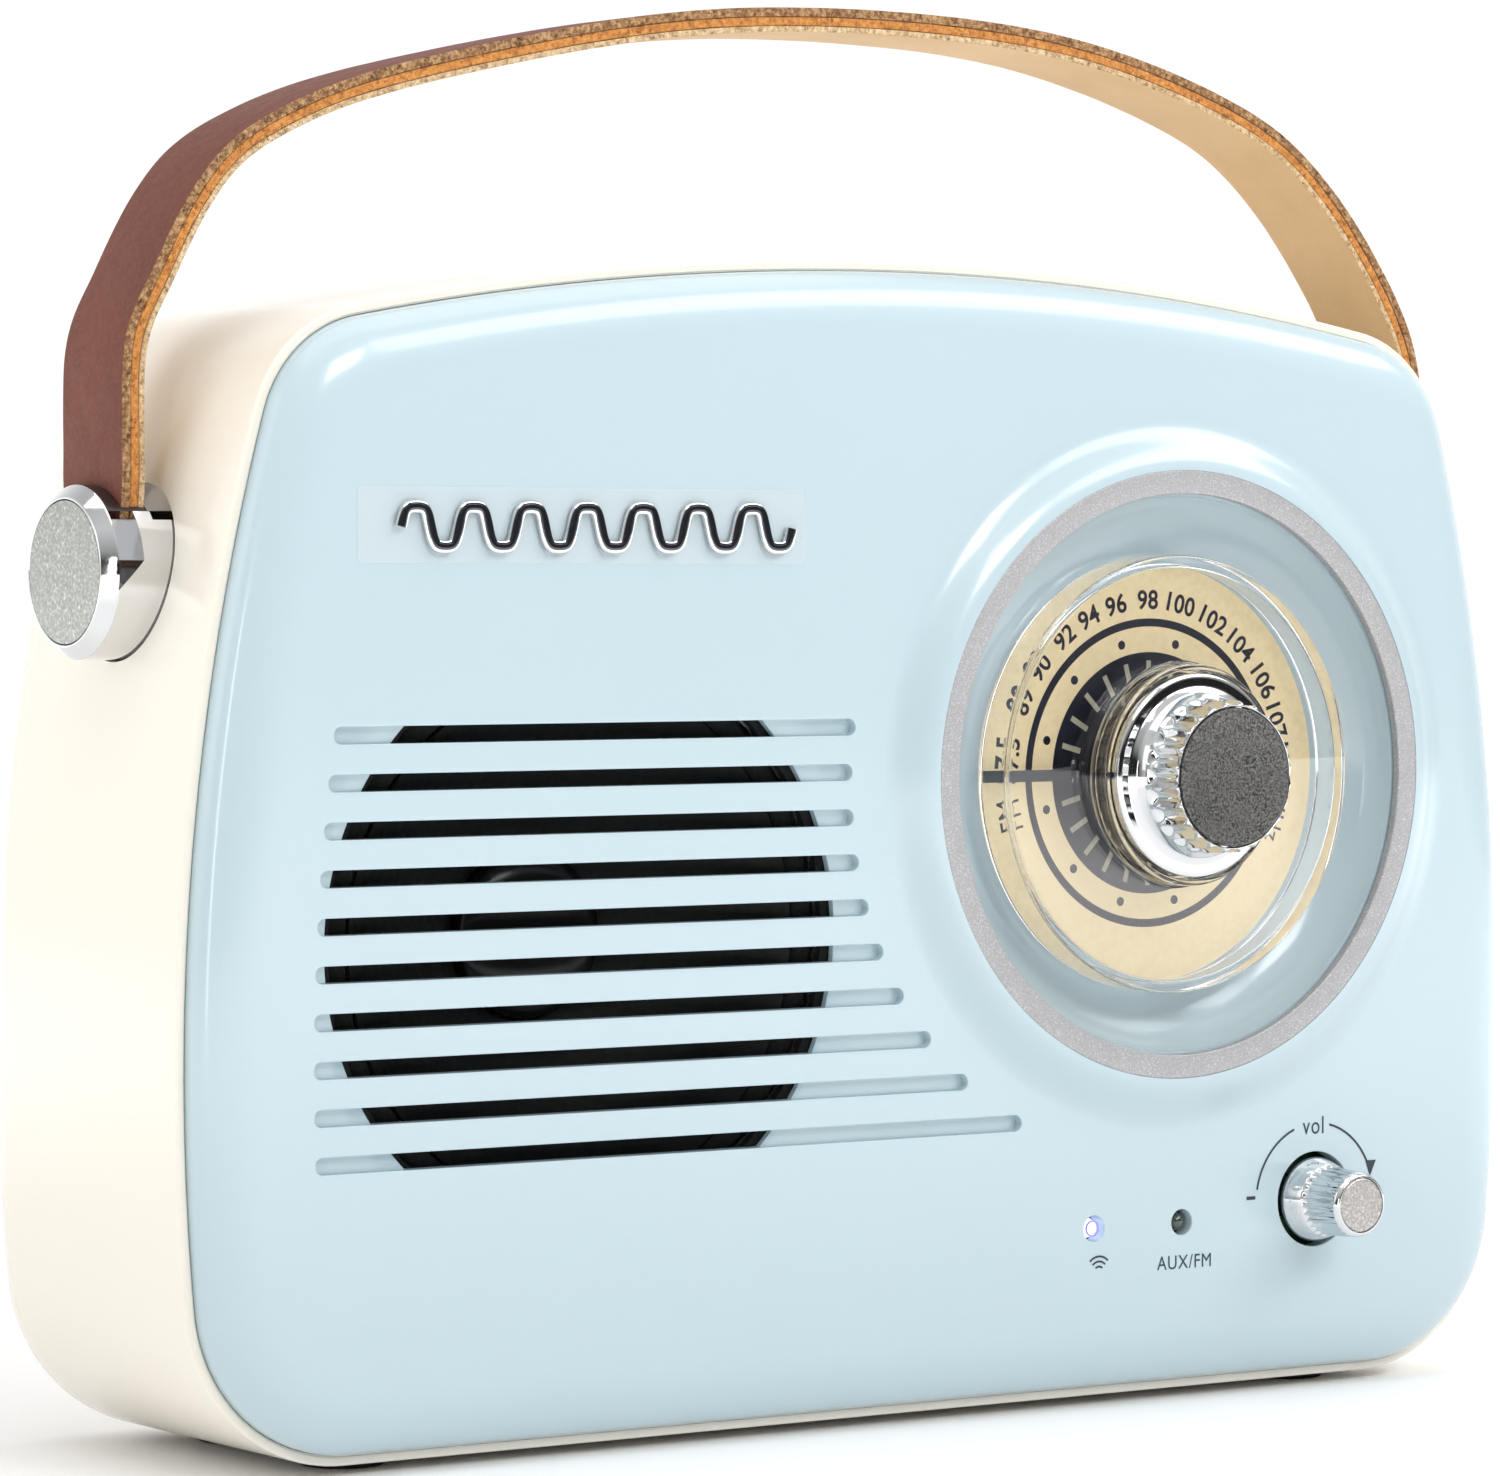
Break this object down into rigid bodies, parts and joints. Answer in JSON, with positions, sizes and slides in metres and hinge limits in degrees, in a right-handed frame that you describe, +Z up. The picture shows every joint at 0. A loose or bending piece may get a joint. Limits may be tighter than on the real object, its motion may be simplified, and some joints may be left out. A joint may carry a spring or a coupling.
{
  "type": "portable radio",
  "caption": "Retro portable radio: rounded plastic case, louvred speaker, round tuning dial with clear disc, chrome knobs, folding leather strap handle and telescopic antenna.",
  "frame": {"origin": "on the floor under the middle of the radio's bounding box", "axes": "+X to the right seen from the front, +Y from the front to the back, +Z up"},
  "size_m": [0.2424, 0.0878, 0.2071],
  "materials": {
    "panel_blue": "pale blue gloss moulding",
    "case_cream": "cream gloss moulding",
    "battery_wrap": "shrink wrap",
    "plain_steel": "zinc plated",
    "foot_rubber": "matt",
    "silver_paint": "satin silver",
    "dial_print": "printed cream plate",
    "clear_acrylic": "clear polished",
    "dark_plastic": "satin",
    "bright_chrome": "mirror plated",
    "knob_insert": "dark grained",
    "satin_metal": "satin grained",
    "component_body": "moulded",
    "lamp_lens": "clear lens",
    "circuit_board": "solder mask",
    "speaker_black": "pressed paper and foam",
    "coil_copper": "wound wire",
    "brown_leather": "smooth brown",
    "leather_core": "dyed cut edge",
    "suede_lining": "raw suede"
  },
  "bodies": {
    "case": {"front_panel": "panel_blue", "rear_case": "case_cream", "battery_door": "case_cream", "battery_door_screw": "plain_steel", "battery_pack": "battery_wrap", "case_screw_1": "plain_steel", "case_screw_2": "plain_steel", "case_screw_3": "plain_steel", "case_screw_4": "plain_steel", "foot_1": "foot_rubber", "foot_2": "foot_rubber", "foot_3": "foot_rubber", "foot_4": "foot_rubber", "dial_trim_ring": "silver_paint", "dial_scale_plate": "dial_print", "tuning_capacitor": "component_body", "volume_pot": "component_body", "pairing_light": "lamp_lens", "source_light": "lamp_lens", "control_board": "circuit_board", "main_board": "circuit_board", "speaker_gasket": "speaker_black", "speaker_basket": "plain_steel", "speaker_surround": "speaker_black", "speaker_magnet": "component_body", "speaker_yoke": "plain_steel", "source_switch_body": "component_body", "aux_jack": "dark_plastic", "charging_socket": "plain_steel", "antenna_foot": "dark_plastic", "pivot_washer_left": "plain_steel", "pivot_washer_right": "plain_steel", "badge": "bright_chrome"},
    "tuning": {"tuning_knob": "bright_chrome", "tuning_knob_cap": "knob_insert", "tuning_disc": "clear_acrylic", "tuning_pointer": "dark_plastic", "tuning_shaft": "plain_steel"},
    "volume": {"volume_knob": "bright_chrome", "volume_knob_cap": "satin_metal", "volume_shaft": "plain_steel"},
    "source_switch": {"source_switch_slider": "dark_plastic"},
    "speaker_diaphragm": {"speaker_cone": "speaker_black", "speaker_dust_cap": "speaker_black", "speaker_voice_coil": "coil_copper"},
    "handle": {"strap_outer_leather": "brown_leather", "strap_core": "leather_core", "strap_lining": "suede_lining", "handle_boss_left": "bright_chrome", "handle_boss_right": "bright_chrome", "handle_boss_cap_left": "satin_metal", "handle_boss_cap_right": "satin_metal", "pivot_screw_left": "plain_steel", "pivot_screw_right": "plain_steel"},
    "antenna_base": {"antenna_swivel": "bright_chrome"},
    "antenna_section_1": {"antenna_tube_1": "bright_chrome"},
    "antenna_section_2": {"antenna_tube_2": "bright_chrome"},
    "antenna_section_3": {"antenna_tube_3": "bright_chrome"},
    "antenna_section_4": {"antenna_rod": "bright_chrome"}
  },
  "joints": [
    {"name": "tuning_turn", "type": "hinge", "parent": "case", "child": "tuning", "pos_m": [0.04885, -0.02895, 0.0942], "axis": [0, 1, 0], "range_deg": [0, 180]},
    {"name": "volume_turn", "type": "hinge", "parent": "case", "child": "volume", "pos_m": [0.0769, -0.02895, 0.0292], "axis": [0, 1, 0], "range_deg": [-140, 140]},
    {"name": "source_select", "type": "slide", "parent": "case", "child": "source_switch", "axis": [1, 0, 0], "range_m": [-0.0036, 0.0036]},
    {"name": "cone_stroke", "type": "slide", "parent": "case", "child": "speaker_diaphragm", "axis": [0, -1, 0], "range_m": [-0.0015, 0.0015], "stiffness_N_per_m": 2000},
    {"name": "handle_swing", "type": "hinge", "parent": "case", "child": "handle", "pos_m": [0, 0.00205, 0.124], "axis": [1, 0, 0], "range_deg": [-90, 90]},
    {"name": "antenna_turn", "type": "hinge", "parent": "case", "child": "antenna_base", "pos_m": [0.076, 0.04045, 0.145], "axis": [0, 1, 0], "range_deg": [0, 180]},
    {"name": "antenna_tilt", "type": "hinge", "parent": "antenna_base", "child": "antenna_section_1", "pos_m": [0.076, 0.04045, 0.145], "axis": [0, 0, -1], "range_deg": [0, 90]},
    {"name": "antenna_slide_2", "type": "slide", "parent": "antenna_section_1", "child": "antenna_section_2", "axis": [-1, 0, 0], "range_m": [0, 0.105]},
    {"name": "antenna_slide_3", "type": "slide", "parent": "antenna_section_2", "child": "antenna_section_3", "axis": [-1, 0, 0], "range_m": [0, 0.105]},
    {"name": "antenna_slide_4", "type": "slide", "parent": "antenna_section_3", "child": "antenna_section_4", "axis": [-1, 0, 0], "range_m": [0, 0.105]}
  ]
}
